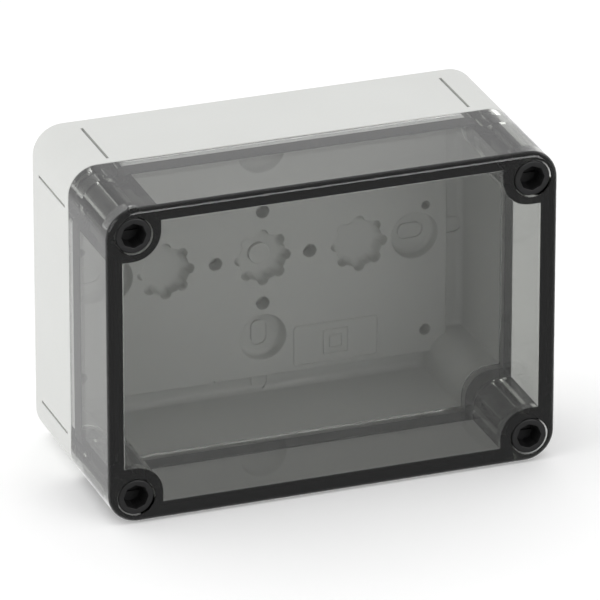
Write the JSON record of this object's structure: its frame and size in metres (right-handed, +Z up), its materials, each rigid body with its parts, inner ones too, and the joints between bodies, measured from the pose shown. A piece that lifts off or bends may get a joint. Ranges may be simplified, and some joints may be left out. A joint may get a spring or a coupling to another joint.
{
  "type": "electrical junction box",
  "caption": "Rectangular wall box with a light grey base, a deep smoked transparent lid, a seal and captive corner screws.",
  "frame": {"origin": "middle of the underside on the standing plane, midway between the front and the back", "axes": "+X to the right along the length, -Y out of the lid, +Y into the wall, +Z up"},
  "size_m": [0.182, 0.09, 0.1308],
  "materials": {
    "grey_plastic": "smooth, slightly satin moulded plastic",
    "smoked_plastic": "clear smoke-grey moulded plastic",
    "black_polyamide": "satin black polyamide",
    "ring_nylon": "black nylon",
    "seal_foam": "fine closed-cell foam"
  },
  "bodies": {
    "base": {"base_housing": "grey_plastic"},
    "lid": {"lid_cover": "smoked_plastic", "lid_gasket": "seal_foam"},
    "ring_top_left": {"retaining_ring_top_left": "ring_nylon"},
    "screw_top_left": {"lid_screw_top_left": "black_polyamide"},
    "ring_top_right": {"retaining_ring_top_right": "ring_nylon"},
    "screw_top_right": {"lid_screw_top_right": "black_polyamide"},
    "ring_bottom_left": {"retaining_ring_bottom_left": "ring_nylon"},
    "screw_bottom_left": {"lid_screw_bottom_left": "black_polyamide"},
    "ring_bottom_right": {"retaining_ring_bottom_right": "ring_nylon"},
    "screw_bottom_right": {"lid_screw_bottom_right": "black_polyamide"}
  },
  "joints": [
    {"name": "lid_lift_off", "type": "slide", "parent": "base", "child": "lid", "axis": [0, -1, 0], "range_m": [0, 0.08]},
    {"name": "screw_travel_top_left", "type": "slide", "parent": "lid", "child": "ring_top_left", "axis": [0, -1, 0], "range_m": [0, 0.008]},
    {"name": "screw_turn_top_left", "type": "hinge", "parent": "ring_top_left", "child": "screw_top_left", "pos_m": [-0.0803, 0, 0.1192], "axis": [0, -1, 0], "range_deg": [0, 720]},
    {"name": "screw_travel_top_right", "type": "slide", "parent": "lid", "child": "ring_top_right", "axis": [0, -1, 0], "range_m": [0, 0.008]},
    {"name": "screw_turn_top_right", "type": "hinge", "parent": "ring_top_right", "child": "screw_top_right", "pos_m": [0.0803, 0, 0.1192], "axis": [0, -1, 0], "range_deg": [0, 720]},
    {"name": "screw_travel_bottom_left", "type": "slide", "parent": "lid", "child": "ring_bottom_left", "axis": [0, -1, 0], "range_m": [0, 0.008]},
    {"name": "screw_turn_bottom_left", "type": "hinge", "parent": "ring_bottom_left", "child": "screw_bottom_left", "pos_m": [-0.0803, 0, 0.0108], "axis": [0, -1, 0], "range_deg": [0, 720]},
    {"name": "screw_travel_bottom_right", "type": "slide", "parent": "lid", "child": "ring_bottom_right", "axis": [0, -1, 0], "range_m": [0, 0.008]},
    {"name": "screw_turn_bottom_right", "type": "hinge", "parent": "ring_bottom_right", "child": "screw_bottom_right", "pos_m": [0.0803, 0, 0.0108], "axis": [0, -1, 0], "range_deg": [0, 720]}
  ],
  "couplings": [
    {"joint": "screw_turn_top_left", "follows": "screw_travel_top_left", "rad_per_m": 1570.8},
    {"joint": "screw_turn_top_right", "follows": "screw_travel_top_right", "rad_per_m": 1570.8},
    {"joint": "screw_turn_bottom_left", "follows": "screw_travel_bottom_left", "rad_per_m": 1570.8},
    {"joint": "screw_turn_bottom_right", "follows": "screw_travel_bottom_right", "rad_per_m": 1570.8}
  ]
}
